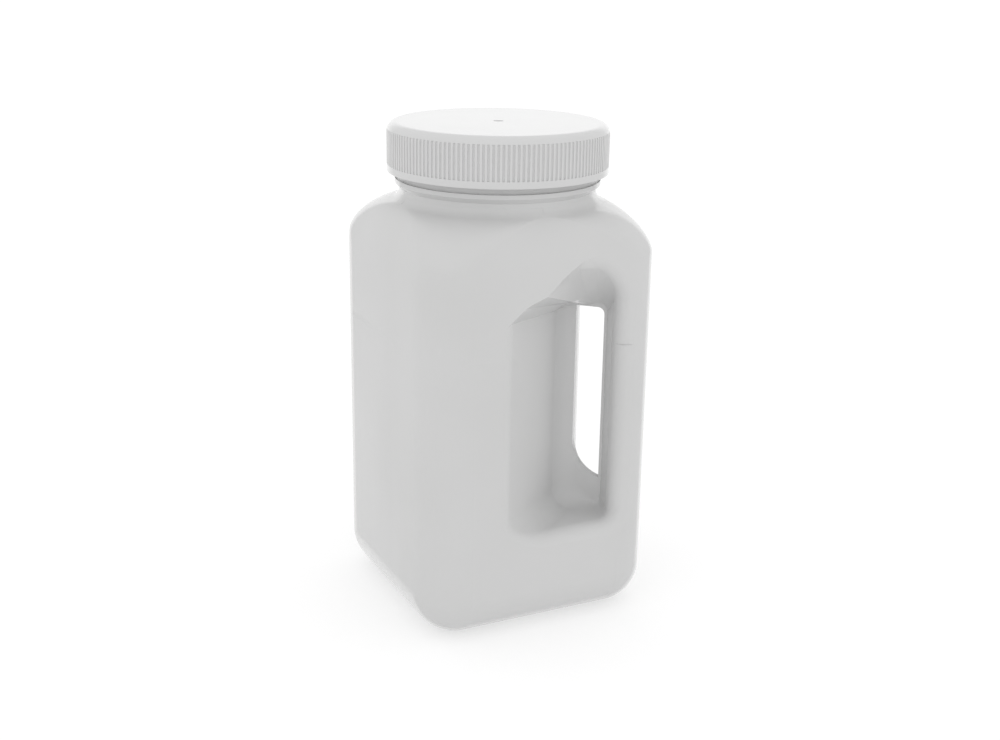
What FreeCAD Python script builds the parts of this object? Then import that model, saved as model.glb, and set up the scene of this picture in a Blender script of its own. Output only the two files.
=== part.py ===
import FreeCAD, Part
import math
import os
import re

import Sketcher

# Three litre wide-mouth bottle with a grip moulded into one corner, its ribbed screw cap and its liner.
# Frame: millimetres, +Z up, origin on the floor under the neck's axis, +X towards the grip's corner.
# The tank's four corners point along the X and Y axes, so its flat sides are at 45 degrees to them.

DIMENSIONS = {
    # tank
    "half_side": 65.0,
    "corner_radius": 22.8,
    "base_radius": 22.6,
    "wall": 2.0,
    "straight_top": 150.0,
    "face_shoulder_start": 185.0,
    "corner_shoulder_start": 195.0,
    "shoulder_top": 217.4,
    "neck_flare": 5.0,
    "flare_overlap": 0.15,
    "face_roundness": 2.0,
    "corner_roundness": 1.62,
    "push_up_radius": 34.0,
    "push_up_rise": 2.5,
    # finger recesses, one each side of the mid plane, and the slot between them
    "web_half": 1.6,
    "web_blend": 10.0,
    "grip_blend_share": 0.2,
    "low_blend_share": 0.45,
    "high_blend_share": 0.35,
    "recess_tank_x": 38.0,
    "recess_grip_x": 60.4,
    "recess_floor": 54.0,
    "recess_roof": 165.0,
    "roof_low_x": 47.0,
    "roof_high_x": 52.0,
    "tank_wall_draft": 7.8,
    "grip_wall_draft": 30.2,
    "floor_draft": 1.0,
    "roof_rise_tank": 6.0,
    "roof_rise_low": 17.3,
    "roof_rise_high": 38.5,
    "roof_rise_grip": 54.5,
    "roof_low_shift": -4.1,
    "roof_high_shift": 4.5,
    "roof_cut_width": 5.0,
    "roof_cut_drop": 3.2,
    "roof_cut_near_share": 0.3,
    "recess_low_corner": 11.0,
    "recess_grip_corner": 3.5,
    "grip_corner_growth": 0.12,
    "recess_roof_corner": 3.8,
    "roof_corner_growth": 0.22,
    "recess_reach": 70.0,
    "rim_radius": 7.0,
    "grip_wall_share": 3.0,
    "floor_wall_share": 2.25,
    "roof_wall_share": 2.5,
    "slot_tank_x": 45.0,
    "slot_grip_x": 59.9,
    "slot_bottom": 70.0,
    "slot_low_corner": 20.0,
    "slot_top": 164.6,
    "slot_top_corner": 3.5,
    "slot_half_depth": 4.8,
    # neck
    "bore_radius": 47.2,
    "neck_radius": 50.8,
    "bead_radius": 53.0,
    "bead_foot": 223.5,
    "bead_bottom": 226.0,
    "bead_top": 228.2,
    "thread_root_radius": 51.9,
    "mouth_height": 252.8,
    "mouth_chamfer": 0.8,
    # screw thread
    "thread_pitch": 5.08,
    "thread_turns": 2.0,
    "thread_depth": 1.9,
    "thread_root_width": 2.3,
    "thread_crest_width": 1.3,
    "thread_bury": 0.4,
    "neck_thread_start": 236.5,
    # cap
    "cap_radius": 57.0,
    "cap_skirt_wall": 2.6,
    "cap_bottom": 231.8,
    "cap_top": 256.6,
    "cap_edge_radius": 5.0,
    "band_height": 3.5,
    "rib_groove_radius": 0.65,
    "rib_groove_top": 253.0,
    "rib_count": 148.0,
    "cap_mouth_chamfer": 1.2,
    "dimple_radius": 2.7,
    "dimple_depth": 0.5,
    # liner
    "liner_radius": 53.4,
    "liner_thickness": 2.0,
}

# how finely the lofted forms are sectioned
FOOT_SECTIONS = 5
SHOULDER_SECTIONS = 40
BLEND_SECTIONS = 5
PROFILE_STEPS = 2000
HALVINGS = 50
# lengths and angles that only serve the construction
SMALLEST_FLAT = 0.2
TOUCHING = 0.02
ROUGH_CENTRE = 50.0
ROUGH_RADIUS = 10.0
FULL_TURN = 360.0

doc = FreeCAD.newDocument("wide_mouth_bottle")
sheet = doc.addObject("Spreadsheet::Sheet", "Dimensions")
for row, (alias, value) in enumerate(DIMENSIONS.items(), start=1):
    sheet.set(f"A{row}", alias)
    sheet.set(f"B{row}", str(value))
    sheet.setAlias(f"B{row}", alias)
doc.recompute()


def size(alias):
    """The sheet's value of one dimension."""
    return float(sheet.get(alias))


# ---------------------------------------------------------------- tank: outside and inside forms


def rounded_square(half_side, corner_radius, height):
    """Closed wire of a square with round corners that point along the X and Y axes."""
    reach = (half_side - corner_radius) * math.sqrt(2)
    edges = []
    previous_end = None
    first_start = None
    for corner in range(4):
        middle = corner * math.pi / 2
        centre = FreeCAD.Vector(reach * math.cos(middle), reach * math.sin(middle), height)
        start, halfway, end = (
            centre + FreeCAD.Vector(math.cos(middle + turn), math.sin(middle + turn), 0) * corner_radius
            for turn in (-math.pi / 4, 0, math.pi / 4)
        )
        if previous_end is None:
            first_start = start
        else:
            edges.append(Part.LineSegment(previous_end, start).toShape())
        edges.append(Part.Arc(start, halfway, end).toShape())
        previous_end = end
    edges.append(Part.LineSegment(previous_end, first_start).toShape())
    return Part.Wire(edges)


def shoulder_height(reach, foot_reach, top_reach, start, roundness, top, flare):
    """Height of the shoulder at a distance from the axis: a superellipse, then a flare up the neck."""
    share = (reach - top_reach) / (foot_reach - top_reach)
    height = start + (top - start) * (1 - share ** roundness) ** (1 / roundness)
    inside_flare = flare - (reach - top_reach)
    if inside_flare > 0:
        height += flare - math.sqrt(flare ** 2 - inside_flare ** 2)
    return height


def shoulder_reach(height, foot_reach, top_reach, *curve):
    """Distance from the axis at which the shoulder has a height, found by halving."""
    inner = top_reach
    outer = foot_reach
    if height <= curve[0]:
        return foot_reach
    for _ in range(HALVINGS):
        middle = (inner + outer) / 2
        if shoulder_height(middle, foot_reach, top_reach, *curve) > height:
            inner = middle
        else:
            outer = middle
    return (inner + outer) / 2


def even_heights(foot_reach, top_reach, *curve):
    """Heights of points spaced evenly along the shoulder's profile, from its foot to its top."""
    span = top_reach - foot_reach
    reaches = [foot_reach + span * step / PROFILE_STEPS for step in range(PROFILE_STEPS + 1)]
    points = [(reach, shoulder_height(reach, foot_reach, top_reach, *curve)) for reach in reaches]
    lengths = [0.0]
    for before, after in zip(points, points[1:]):
        lengths.append(lengths[-1] + math.dist(before, after))
    heights = []
    for step in range(SHOULDER_SECTIONS + 1):
        target = lengths[-1] * step / SHOULDER_SECTIONS
        index = min(range(len(lengths)), key=lambda k: abs(lengths[k] - target))
        heights.append(points[index][1])
    return heights


def shoulder(inset, top_reach, flare):
    """Loft from the square section into the round foot of the neck."""
    half_side = size("half_side") - inset
    corner_radius = size("corner_radius") - inset
    corner_reach = (half_side - corner_radius) * math.sqrt(2) + corner_radius
    top = size("shoulder_top") - inset
    face_curve = (size("face_shoulder_start"), size("face_roundness"), top, flare)
    corner_curve = (size("corner_shoulder_start"), size("corner_roundness"), top, flare)
    foot = size("straight_top")
    rise = (size("face_shoulder_start") - foot) / FOOT_SECTIONS
    heights = [foot + rise * step for step in range(FOOT_SECTIONS)]
    sections = []
    for height in heights + even_heights(half_side, top_reach, *face_curve):
        face = shoulder_reach(height, half_side, top_reach, *face_curve)
        corner = shoulder_reach(height, corner_reach, top_reach, *corner_curve)
        radius = (face * math.sqrt(2) - corner) / (math.sqrt(2) - 1)
        sections.append(rounded_square(face, min(radius, face - SMALLEST_FLAT), height))
    return Part.makeLoft(sections, True, False)


def tank_blank(inset):
    """Tank without its finger recesses, drawn in by inset on every side."""
    half_side = size("half_side") - inset
    corner_radius = size("corner_radius") - inset
    base_radius = size("base_radius") - inset
    outline = rounded_square(half_side, corner_radius, inset)
    prism = Part.Face(outline).extrude(FreeCAD.Vector(0, 0, size("straight_top") - inset))
    base_edges = [edge for edge in prism.Edges if edge.BoundBox.ZMax < inset + TOUCHING]
    prism = prism.makeFillet(base_radius, base_edges)
    if inset == 0:
        top = shoulder(inset, size("neck_radius") - size("flare_overlap"), size("neck_flare"))
    else:
        top = shoulder(inset, size("bore_radius") - inset / 2, 0.0)
    blank = prism.fuse(top)
    # shallow dome that lifts the middle of the base off the floor
    rise = size("push_up_rise")
    radius = size("push_up_radius") + inset
    sphere_radius = (radius ** 2 + rise ** 2) / (2 * rise)
    dome = Part.makeSphere(sphere_radius, FreeCAD.Vector(0, 0, inset + rise - sphere_radius))
    return blank.cut(dome)


def recess_corners(depth, swell):
    """Corners (x, z, radius) of the finger recess at a depth out from the web, grown by a wall: swell."""
    distance = size("web_half") - swell + depth
    blend = size("web_blend") + swell
    tuck = blend - math.sqrt(blend ** 2 - max(blend - depth, 0.0) ** 2)

    def lean(alias):
        return distance * math.tan(math.radians(size(alias)))

    def grown(alias, share):
        return swell * share / math.cos(math.radians(size(alias)))

    roof_share = size("roof_wall_share")

    def roof(alias):
        return size("recess_roof") + lean(alias) + grown(alias, roof_share)

    tank_x = size("recess_tank_x") - lean("tank_wall_draft") - grown("tank_wall_draft", 1.0) + tuck
    grip_x = size("recess_grip_x") + lean("grip_wall_draft") + grown("grip_wall_draft", size("grip_wall_share"))
    floor = size("recess_floor") - lean("floor_draft") - grown("floor_draft", size("floor_wall_share"))
    low_x = size("roof_low_x") + lean("roof_low_shift") - swell / 2 + tuck * size("low_blend_share")
    high_x = size("roof_high_x") + lean("roof_high_shift") - swell / 2 + tuck * size("high_blend_share")
    near_share = size("roof_cut_near_share")
    cut = near_share + (1 - near_share) * min(depth / blend, 1.0)
    cut_x = tank_x + cut * size("roof_cut_width")
    cut_rise = (roof("roof_rise_low") - roof("roof_rise_tank")) * (cut_x - tank_x) / (low_x - tank_x)
    return [
        (tank_x, floor + tuck, size("recess_low_corner") + swell),
        (grip_x, floor + tuck * size("grip_blend_share"),
         size("recess_grip_corner") + swell + size("grip_corner_growth") * depth),
        (grip_x, roof("roof_rise_grip"),
         size("recess_roof_corner") + swell + size("roof_corner_growth") * depth),
        (high_x, roof("roof_rise_high"), 0.0),
        (low_x, roof("roof_rise_low"), 0.0),
        (cut_x, roof("roof_rise_tank") + cut_rise, 0.0),
        (tank_x, roof("roof_rise_tank") - cut * size("roof_cut_drop"), 0.0),
    ]


def rounded_outline(corners, distance):
    """Closed wire through corners in a plane of constant Y, rounded by arcs where they have a radius."""
    points = [FreeCAD.Vector(x, -distance, z) for x, z, radius in corners]
    entries = []
    exits = []
    arcs = []
    for index, (x, z, radius) in enumerate(corners):
        here = points[index]
        if radius == 0:
            entries.append(here)
            exits.append(here)
            arcs.append(None)
            continue
        back = (points[index - 1] - here).normalize()
        ahead = (points[(index + 1) % len(points)] - here).normalize()
        half_angle = back.getAngle(ahead) / 2
        bisector = (back + ahead).normalize()
        entry = here + back * (radius / math.tan(half_angle))
        leave = here + ahead * (radius / math.tan(half_angle))
        middle = here + bisector * (radius / math.sin(half_angle) - radius)
        entries.append(entry)
        exits.append(leave)
        arcs.append(Part.Arc(entry, middle, leave).toShape())
    edges = []
    for index in range(len(corners)):
        if arcs[index] is not None:
            edges.append(arcs[index])
        edges.append(Part.LineSegment(exits[index], entries[(index + 1) % len(corners)]).toShape())
    return Part.Wire(edges)


def finger_recess(swell):
    """Void on the -Y side: a part that rounds into the web, then straight walls past the side."""
    near = size("web_half") - swell
    blend = size("web_blend") + swell

    def wire(depth):
        return rounded_outline(recess_corners(depth, swell), near + depth)

    turns = [math.pi / 2 * step / BLEND_SECTIONS for step in range(BLEND_SECTIONS + 1)]
    inner = Part.makeLoft([wire(blend * (1 - math.cos(turn))) for turn in turns], True, False)
    outer = Part.makeLoft([wire(blend), wire(size("recess_reach"))], True, True)
    return inner.fuse(outer).Solids[0]


def soft_rims(form, blank, void):
    """Edges where a recess breaks the tank's side, without the crisp crease along its roof."""
    skin = blank.Shells[0]
    pocket = void.Shells[0]
    found = []
    for edge in form.Edges:
        middle = edge.valueAt((edge.FirstParameter + edge.LastParameter) / 2)
        probe = Part.Vertex(middle)
        on_rim = probe.distToShape(skin)[0] < TOUCHING and probe.distToShape(pocket)[0] < TOUCHING
        crisp = middle.z > size("recess_roof") and middle.x < size("roof_high_x")
        if on_rim and not crisp:
            found.append(edge)
    return found


def moulded_form(inset):
    """Tank with a finger recess each side and the recesses' outer rims rounded."""
    blank = tank_blank(inset).Solids[0]
    near_side = finger_recess(inset)
    far_side = near_side.mirror(FreeCAD.Vector(0, 0, 0), FreeCAD.Vector(0, 1, 0))
    form = blank
    for void in (near_side, far_side):
        form = form.cut(void).Solids[0]
        if inset == 0:
            form = form.makeFillet(size("rim_radius"), soft_rims(form, blank, void)).Solids[0]
    return form


def finger_slot():
    """Prism through the web: upright sides, a wide round low corner and a small top one."""
    tank_x = size("slot_tank_x")
    grip_x = size("slot_grip_x")
    top = size("slot_top")
    low = size("slot_low_corner")
    small = size("slot_top_corner")
    centre_x = tank_x + low
    centre_z = size("slot_bottom") + low
    grip_turn = math.acos((grip_x - centre_x) / low)

    def point(x, z):
        return FreeCAD.Vector(x, 0, z)

    def on_low_corner(turn):
        return point(centre_x + low * math.cos(turn), centre_z - low * math.sin(turn))

    low_end = on_low_corner(grip_turn)
    low_start = on_low_corner(math.pi)
    diagonal = small * (1 - math.sqrt(0.5))
    top_corner = Part.Arc(
        point(grip_x - small, top),
        point(grip_x - diagonal, top - diagonal),
        point(grip_x, top - small),
    )
    outline = Part.Wire([
        Part.LineSegment(low_start, point(tank_x, top)).toShape(),
        Part.LineSegment(point(tank_x, top), point(grip_x - small, top)).toShape(),
        top_corner.toShape(),
        Part.LineSegment(point(grip_x, top - small), low_end).toShape(),
        Part.Arc(low_end, on_low_corner((math.pi + grip_turn) / 2), low_start).toShape(),
    ])
    half_depth = size("slot_half_depth")
    face = Part.Face(outline)
    face.translate(FreeCAD.Vector(0, -half_depth, 0))
    return face.extrude(FreeCAD.Vector(0, 2 * half_depth, 0))


def add_shape(name, shape):
    feature = doc.addObject("Part::Feature", name)
    feature.Shape = shape
    return feature


def boolean(kind, name, base, tool):
    feature = doc.addObject(kind, name)
    feature.Base = base
    feature.Tool = tool
    return feature


# ---------------------------------------------------------------- helpers for the turned pieces


def formula(text):
    """Expression over the sheet: every plain word in text becomes a reference to its cell."""
    return re.sub(r"[a-z][a-z_]*", lambda word: f"Dimensions.{word.group(0)}", text)


def origin_feature(body, role):
    for feature in body.Origin.OriginFeatures:
        if feature.Role == role:
            return feature
    raise ValueError(role)


def new_body(name):
    body = doc.addObject("PartDesign::Body", name)
    body.Label = name
    return body


def new_sketch(body, name, role):
    """Empty sketch on one of the body's own origin planes."""
    sketch = body.newObject("Sketcher::SketchObject", name)
    sketch.AttachmentSupport = [(origin_feature(body, role), "")]
    sketch.MapMode = "FlatFace"
    return sketch


def bind_constraint(sketch, constraint, name, text):
    index = sketch.addConstraint(constraint)
    sketch.renameConstraint(index, name)
    sketch.setExpression(f"Constraints.{name}", formula(text))


def draw_section(sketch, corners):
    """Closed outline of straight lines whose corners are pairs of sheet formulas: radius, height."""
    count = len(corners)
    turns = [2 * math.pi * k / count for k in range(count)]
    centre = FreeCAD.Vector(ROUGH_CENTRE, ROUGH_CENTRE, 0)
    rough = [centre + FreeCAD.Vector(math.cos(turn), math.sin(turn), 0) * ROUGH_RADIUS for turn in turns]
    for k in range(count):
        sketch.addGeometry(Part.LineSegment(rough[k], rough[(k + 1) % count]), False)
    for k in range(count):
        sketch.addConstraint(Sketcher.Constraint("Coincident", k, 2, (k + 1) % count, 1))
    for k, (radius, height) in enumerate(corners):
        if radius is None:
            sketch.addConstraint(Sketcher.Constraint("PointOnObject", k, 1, -2))
        else:
            across = Sketcher.Constraint("DistanceX", -1, 1, k, 1, ROUGH_CENTRE)
            bind_constraint(sketch, across, f"radius_{k}", radius)
        upward = Sketcher.Constraint("DistanceY", -1, 1, k, 1, ROUGH_CENTRE)
        bind_constraint(sketch, upward, f"height_{k}", height)


def draw_circle(sketch, distance, radius):
    """Circle on the sketch's X axis, or on its origin when distance is None."""
    sketch.addGeometry(Part.Circle(FreeCAD.Vector(1, 0, 0), FreeCAD.Vector(0, 0, 1), 1.0), False)
    if distance is None:
        sketch.addConstraint(Sketcher.Constraint("Coincident", 0, 3, -1, 1))
    else:
        sketch.addConstraint(Sketcher.Constraint("PointOnObject", 0, 3, -1))
        bind_constraint(sketch, Sketcher.Constraint("DistanceX", -1, 1, 0, 3, 1.0), "distance", distance)
    bind_constraint(sketch, Sketcher.Constraint("Radius", 0, 1.0), "radius", radius)


def revolve(body, name, corners):
    sketch = new_sketch(body, f"{name}_section", "XZ_Plane")
    draw_section(sketch, corners)
    doc.recompute()
    turned = body.newObject("PartDesign::Revolution", name)
    turned.Profile = (sketch, [""])
    turned.ReferenceAxis = (sketch, ["V_Axis"])
    turned.Angle = FULL_TURN
    doc.recompute()
    return turned


def add_thread(body, name, root, crest, start):
    """Screw thread ridge between two radii, its first turn centred on the height start."""
    half_root = "thread_root_width / 2"
    half_crest = "thread_crest_width / 2"
    sketch = new_sketch(body, f"{name}_section", "XZ_Plane")
    draw_section(sketch, [
        (root, f"{start} - {half_root}"),
        (crest, f"{start} - {half_crest}"),
        (crest, f"{start} + {half_crest}"),
        (root, f"{start} + {half_root}"),
    ])
    doc.recompute()
    ridge = body.newObject("PartDesign::AdditiveHelix", name)
    ridge.Profile = (sketch, [""])
    ridge.ReferenceAxis = (sketch, ["V_Axis"])
    ridge.Mode = 1
    ridge.setExpression("Pitch", formula("thread_pitch"))
    ridge.setExpression("Turns", formula("thread_turns"))
    ridge.LeftHanded = False
    ridge.Reversed = False
    doc.recompute()
    return ridge


# ---------------------------------------------------------------- bottle


neck = new_body("neck_finish")
revolve(neck, "neck_wall", [
    (None, "shoulder_top - wall"),
    ("neck_radius", "shoulder_top - wall"),
    ("neck_radius", "bead_foot"),
    ("bead_radius", "bead_bottom"),
    ("bead_radius", "bead_top"),
    ("thread_root_radius", "bead_top"),
    ("thread_root_radius", "mouth_height - mouth_chamfer"),
    ("thread_root_radius - mouth_chamfer", "mouth_height"),
    (None, "mouth_height"),
])
add_thread(
    neck,
    "neck_thread",
    "thread_root_radius - thread_bury",
    "thread_root_radius + thread_depth",
    "neck_thread_start",
)

tank_outside = add_shape("tank_outside", moulded_form(0.0))
tank_inside = add_shape("tank_inside", moulded_form(size("wall")))
slot = add_shape("finger_slot", finger_slot())
bore = doc.addObject("Part::Cylinder", "neck_bore")
bore.setExpression("Radius", formula("bore_radius"))
bore.setExpression("Height", formula("mouth_height"))
bore.setExpression("Placement.Base.z", formula("corner_shoulder_start"))
necked_form = boolean("Part::Fuse", "necked_form", tank_outside, neck)
hollow_form = boolean("Part::Cut", "hollow_form", necked_form, tank_inside)
bored_form = boolean("Part::Cut", "bored_form", hollow_form, bore)
bottle = boolean("Part::Cut", "bottle", bored_form, slot)
bottle.Label = "bottle"
doc.recompute()


# ---------------------------------------------------------------- screw cap


cap = new_body("screw_cap")
cap_inner = "cap_radius - cap_skirt_wall"
cap_ceiling = "mouth_height + liner_thickness"
cap_shell = revolve(cap, "cap_shell", [
    (None, cap_ceiling),
    (cap_inner, cap_ceiling),
    (cap_inner, "cap_bottom + cap_mouth_chamfer"),
    (f"{cap_inner} + cap_mouth_chamfer / 2", "cap_bottom"),
    ("cap_radius", "cap_bottom"),
    ("cap_radius", "cap_top"),
    ("dimple_radius", "cap_top"),
    ("dimple_radius - dimple_depth", "cap_top - dimple_depth"),
    (None, "cap_top - dimple_depth"),
])
top_rim = [
    f"Edge{number}"
    for number, edge in enumerate(cap_shell.Shape.Edges, start=1)
    if isinstance(edge.Curve, Part.Circle)
    and abs(edge.Curve.Radius - size("cap_radius")) < TOUCHING
    and abs(edge.Curve.Center.z - size("cap_top")) < TOUCHING
]
rounded_cap = cap.newObject("PartDesign::Fillet", "cap_top_edge")
rounded_cap.Base = (cap_shell, top_rim)
rounded_cap.setExpression("Radius", formula("cap_edge_radius"))
doc.recompute()

groove_sketch = new_sketch(cap, "rib_groove_section", "XY_Plane")
groove_sketch.setExpression("AttachmentOffset.Base.z", formula("cap_bottom + band_height"))
draw_circle(groove_sketch, "cap_radius", "rib_groove_radius")
doc.recompute()
rib_groove = cap.newObject("PartDesign::Pocket", "rib_groove")
rib_groove.Profile = (groove_sketch, [""])
rib_groove.setExpression("Length", formula("rib_groove_top - cap_bottom - band_height"))
rib_groove.Reversed = True
doc.recompute()
ribs = cap.newObject("PartDesign::PolarPattern", "ribs")
ribs.Originals = [rib_groove]
ribs.Axis = (origin_feature(cap, "Z_Axis"), [""])
ribs.Angle = FULL_TURN
ribs.setExpression("Occurrences", formula("rib_count"))
cap.Tip = ribs
doc.recompute()
add_thread(
    cap,
    "cap_thread",
    f"{cap_inner} + thread_bury",
    f"{cap_inner} - thread_depth",
    "neck_thread_start - thread_pitch / 2 + thread_pitch",
)


# ---------------------------------------------------------------- liner


liner = new_body("cap_liner")
liner_sketch = new_sketch(liner, "liner_section", "XY_Plane")
liner_sketch.setExpression("AttachmentOffset.Base.z", formula("mouth_height"))
draw_circle(liner_sketch, None, "liner_radius")
doc.recompute()
disc = liner.newObject("PartDesign::Pad", "liner_disc")
disc.Profile = (liner_sketch, [""])
disc.setExpression("Length", formula("liner_thickness"))
doc.recompute()


# ---------------------------------------------------------------- test and write


for item in doc.Objects:
    if "Invalid" in item.State or "Error" in item.State:
        raise RuntimeError(f"{item.Name} failed: {item.State}")

os.makedirs("parts", exist_ok=True)
for part in (bottle, cap, liner):
    shape = part.Shape
    if shape.isNull() or not shape.isValid() or len(shape.Solids) != 1:
        raise RuntimeError(f"{part.Label} is not one valid solid")
    shape.Solids[0].exportStep(f"parts/{part.Label}.step")
    print(f"{part.Label}: {shape.Volume / 1000:.1f} cm3")
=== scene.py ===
import math

import bpy
from mathutils import Matrix, Vector

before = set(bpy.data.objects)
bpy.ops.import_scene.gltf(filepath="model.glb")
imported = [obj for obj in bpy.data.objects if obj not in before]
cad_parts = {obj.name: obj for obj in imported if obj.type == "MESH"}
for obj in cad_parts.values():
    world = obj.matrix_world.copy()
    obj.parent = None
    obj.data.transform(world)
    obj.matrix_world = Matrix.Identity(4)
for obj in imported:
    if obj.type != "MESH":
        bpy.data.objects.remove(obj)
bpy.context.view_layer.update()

# colours
MILKY_DARK = (0.540, 0.540, 0.538, 1.0)
MILKY_PALE = (0.560, 0.560, 0.560, 1.0)
CAP_DARK = (0.555, 0.555, 0.555, 1.0)
CAP_PALE = (0.580, 0.580, 0.580, 1.0)
FOAM_DARK = (0.70, 0.70, 0.68, 1.0)
FOAM_PALE = (0.76, 0.76, 0.74, 1.0)
FLOOR_DARK = (0.48, 0.48, 0.48, 1.0)
FLOOR_PALE = (0.49, 0.49, 0.49, 1.0)
WHITE = (1.0, 1.0, 1.0, 1.0)

# stage and light: lengths in metres, the ceiling's spread in degrees, the key light's power in watts
FLOOR_HALF = 30.0
FLOOR_GLOW = 0.50
WORLD_BRIGHTNESS = 1.06
CEILING_DIRECTION = (0.0, -0.3, 1.0)
CEILING_SPREAD = 80.0
CEILING_STRENGTH = 0.15
KEY_PLACE = (0.1, -1.3, 1.0)
KEY_TARGET = (0.0, 0.0, 0.13)
KEY_WIDTH = 1.2
KEY_POWER = 0.5

# camera: place in metres, roll in radians, lens and sensor in millimetres
CAMERA_PLACE = (0.2350, -0.6802, 0.3545)
CAMERA_FORWARD = (-0.3074, 0.9010, -0.3058)
CAMERA_ROLL = 0.015708
LENS = 50.556
SENSOR_WIDTH = 36.0


# ---------------------------------------------------------------- node helpers


def new_material(name):
    material = bpy.data.materials.new(name)
    material.use_nodes = True
    tree = material.node_tree
    tree.nodes.clear()
    return material, tree


def node(tree, kind, **settings):
    """New node; settings that begin with in_ go to its sockets, the others to the node itself."""
    made = tree.nodes.new(kind)
    for key, value in settings.items():
        if key.startswith("in_"):
            made.inputs[key[3:].replace("_", " ")].default_value = value
        else:
            setattr(made, key, value)
    return made


def link(tree, source, target):
    tree.links.new(source, target)


def feed(tree, socket, value):
    """Link another node's output to a socket, or set a constant on it."""
    if isinstance(value, bpy.types.NodeSocket):
        link(tree, value, socket)
    else:
        socket.default_value = value


def noise(tree, coords, scale, detail, roughness=0.5):
    made = node(tree, "ShaderNodeTexNoise", in_Scale=scale, in_Detail=detail, in_Roughness=roughness)
    link(tree, coords, made.inputs["Vector"])
    return made.outputs["Fac"]


def sharpened(tree, fac, low, high):
    """Colour ramp from black at low to white at high."""
    made = node(tree, "ShaderNodeValToRGB")
    black, white = made.color_ramp.elements
    black.position = low
    black.color = (0.0, 0.0, 0.0, 1.0)
    white.position = high
    white.color = WHITE
    link(tree, fac, made.inputs["Fac"])
    return made.outputs["Color"]


def map_range(tree, value, from_min, from_max, to_min, to_max):
    made = node(
        tree, "ShaderNodeMapRange",
        in_From_Min=from_min, in_From_Max=from_max, in_To_Min=to_min, in_To_Max=to_max,
    )
    link(tree, value, made.inputs["Value"])
    return made.outputs["Result"]


def mix_colour(tree, factor, first, second):
    made = node(tree, "ShaderNodeMix", data_type="RGBA")
    # a mix node has one set of sockets for each data type: 0 is the factor, 6 and 7 are the colours
    for index, value in ((0, factor), (6, first), (7, second)):
        feed(tree, made.inputs[index], value)
    return made.outputs[2]


def bump(tree, height, strength, distance, normal=None):
    made = node(tree, "ShaderNodeBump", in_Strength=strength, in_Distance=distance)
    link(tree, height, made.inputs["Height"])
    if normal is not None:
        link(tree, normal, made.inputs["Normal"])
    return made.outputs["Normal"]


def object_coords(tree):
    return node(tree, "ShaderNodeTexCoord").outputs["Object"]


def stretched(tree, coords, scale):
    made = node(tree, "ShaderNodeMapping", in_Scale=scale)
    link(tree, coords, made.inputs["Vector"])
    return made.outputs["Vector"]


def plastic(tree, **inputs):
    shader = node(tree, "ShaderNodeBsdfPrincipled")
    for key, value in inputs.items():
        feed(tree, shader.inputs[key.replace("_", " ")], value)
    output = node(tree, "ShaderNodeOutputMaterial")
    link(tree, shader.outputs["BSDF"], output.inputs["Surface"])


def edge_gloss(tree, near, far):
    """Share of gloss on surfaces seen edge on: none below near, all above far."""
    facing = node(tree, "ShaderNodeLayerWeight", in_Blend=0.5).outputs["Facing"]
    return map_range(tree, facing, near, far, 0.0, 1.0)


def use_material(node_name, material):
    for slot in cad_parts[node_name].material_slots:
        slot.material = material


# ---------------------------------------------------------------- materials


def bottle_plastic():
    """Milky blow-moulded plastic: faint clouds, upright flow marks and a fine grain."""
    material, tree = new_material("milky_polyethylene")
    coords = object_coords(tree)
    cloud = noise(tree, coords, scale=14.0, detail=2.0)
    flow = noise(tree, stretched(tree, coords, (60.0, 60.0, 5.0)), scale=1.0, detail=3.0, roughness=0.55)
    grain = noise(tree, coords, scale=900.0, detail=2.0, roughness=0.6)
    soft = bump(tree, flow, strength=0.12, distance=0.0004)
    plastic(
        tree,
        Base_Color=mix_colour(tree, sharpened(tree, cloud, 0.3, 0.7), MILKY_DARK, MILKY_PALE),
        Roughness=map_range(tree, flow, 0.3, 0.7, 0.42, 0.50),
        Normal=bump(tree, grain, strength=0.10, distance=0.00008, normal=soft),
        IOR=1.5,
        Specular_IOR_Level=0.4,
        Coat_Weight=edge_gloss(tree, 0.66, 0.74),
        Coat_Roughness=0.12,
        Coat_IOR=2.6,
    )
    return material


def cap_plastic():
    """Harder, whiter plastic of the screw cap."""
    material, tree = new_material("white_polypropylene")
    coords = object_coords(tree)
    cloud = noise(tree, coords, scale=40.0, detail=2.0)
    grain = noise(tree, coords, scale=1200.0, detail=2.0, roughness=0.6)
    plastic(
        tree,
        Base_Color=mix_colour(tree, cloud, CAP_DARK, CAP_PALE),
        Roughness=map_range(tree, cloud, 0.3, 0.7, 0.38, 0.48),
        Normal=bump(tree, grain, strength=0.15, distance=0.00006),
        IOR=1.49,
        Specular_IOR_Level=0.5,
        Sheen_Weight=0.4,
        Sheen_Roughness=0.25,
        Coat_Weight=edge_gloss(tree, 0.66, 0.82),
        Coat_Roughness=0.10,
        Coat_IOR=2.8,
    )
    return material


def liner_foam():
    """Fine-celled foam of the disc inside the cap."""
    material, tree = new_material("liner_foam")
    cells = noise(tree, object_coords(tree), scale=1500.0, detail=2.0, roughness=0.6)
    plastic(
        tree,
        Base_Color=mix_colour(tree, cells, FOAM_DARK, FOAM_PALE),
        Roughness=0.8,
        Normal=bump(tree, cells, strength=0.4, distance=0.0001),
    )
    return material


def floor_paint():
    """Pale acrylic, softly lit from below like a light table, so that shadows stay faint."""
    material, tree = new_material("floor_paint")
    patches = noise(tree, object_coords(tree), scale=3.0, detail=2.0)
    plastic(
        tree,
        Base_Color=mix_colour(tree, patches, FLOOR_DARK, FLOOR_PALE),
        Roughness=0.9,
        Emission_Color=WHITE,
        Emission_Strength=FLOOR_GLOW,
    )
    return material


# ---------------------------------------------------------------- stage, light and camera


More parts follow.
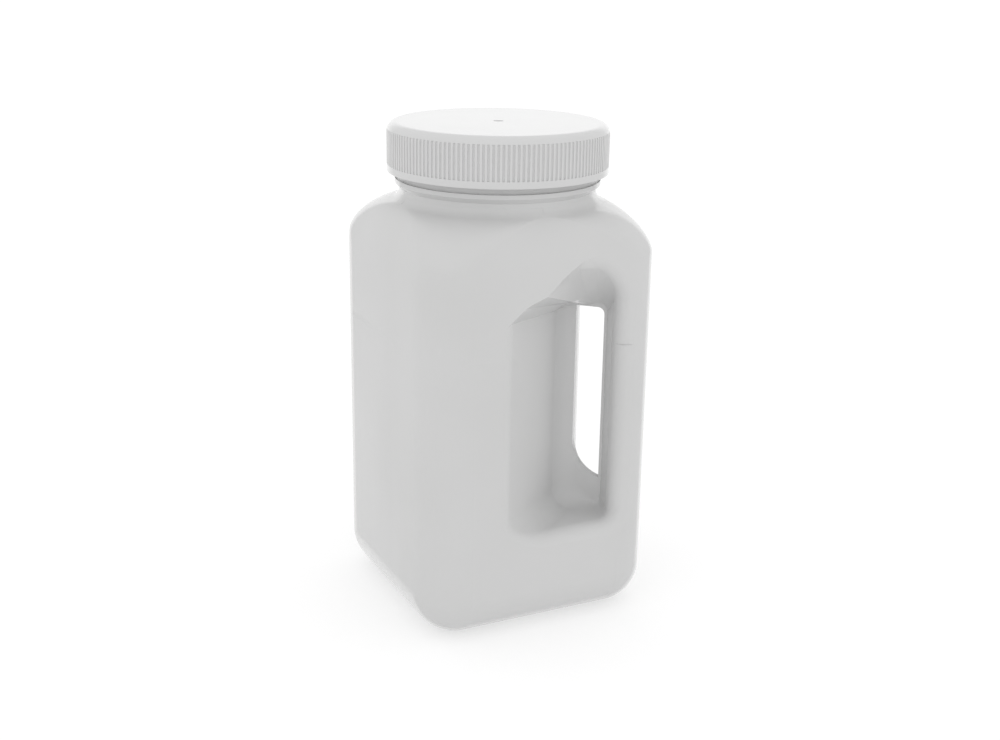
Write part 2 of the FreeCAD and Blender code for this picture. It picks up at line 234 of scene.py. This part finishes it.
def lay_floor():
    half = FLOOR_HALF
    mesh = bpy.data.meshes.new("floor")
    corners = [(-half, -half, 0), (half, -half, 0), (half, half, 0), (-half, half, 0)]
    mesh.from_pydata(corners, [], [(0, 1, 2, 3)])
    floor = bpy.data.objects.new("floor", mesh)
    bpy.context.scene.collection.objects.link(floor)
    mesh.materials.append(floor_paint())


def place_light(name, light, place, target):
    """Put a light in the scene and turn it towards a point."""
    obj = bpy.data.objects.new(name, light)
    obj.location = place
    direction = Vector(target) - obj.location
    obj.rotation_euler = direction.to_track_quat("-Z", "Y").to_euler()
    bpy.context.scene.collection.objects.link(obj)


def soft_box(name, place, target, width, power):
    light = bpy.data.lights.new(name, "AREA")
    light.shape = "RECTANGLE"
    light.size = width
    light.size_y = width
    light.energy = power
    place_light(name, light, place, target)


def soft_ceiling(name, direction, spread, strength):
    """Even light from a wide patch overhead, the same all over the floor."""
    light = bpy.data.lights.new(name, "SUN")
    light.angle = math.radians(spread)
    light.energy = strength
    place_light(name, light, direction, (0.0, 0.0, 0.0))


def set_world(brightness):
    world = bpy.data.worlds.new("studio")
    bpy.context.scene.world = world
    world.use_nodes = True
    background = world.node_tree.nodes["Background"]
    background.inputs["Color"].default_value = WHITE
    background.inputs["Strength"].default_value = brightness


def set_camera():
    """Looks down at the bottle from the grip's right-hand side, rolled by a fraction of a degree."""
    forward = Vector(CAMERA_FORWARD).normalized()
    level_right = forward.cross(Vector((0, 0, 1))).normalized()
    level_up = level_right.cross(forward)
    right = level_right * math.cos(CAMERA_ROLL) + level_up * math.sin(CAMERA_ROLL)
    up = level_up * math.cos(CAMERA_ROLL) - level_right * math.sin(CAMERA_ROLL)
    turn = Matrix((right, up, -forward)).transposed()
    data = bpy.data.cameras.new("camera")
    data.lens = LENS
    data.sensor_width = SENSOR_WIDTH
    data.sensor_fit = "HORIZONTAL"
    camera = bpy.data.objects.new("camera", data)
    camera.matrix_world = Matrix.Translation(Vector(CAMERA_PLACE)) @ turn.to_4x4()
    bpy.context.scene.collection.objects.link(camera)
    bpy.context.scene.camera = camera


use_material("bottle", bottle_plastic())
use_material("screw_cap", cap_plastic())
use_material("cap_liner", liner_foam())
lay_floor()
set_world(WORLD_BRIGHTNESS)
soft_ceiling("ceiling_light", CEILING_DIRECTION, CEILING_SPREAD, CEILING_STRENGTH)
soft_box("key_light", KEY_PLACE, KEY_TARGET, KEY_WIDTH, KEY_POWER)
set_camera()
bpy.context.scene.view_settings.view_transform = "Standard"
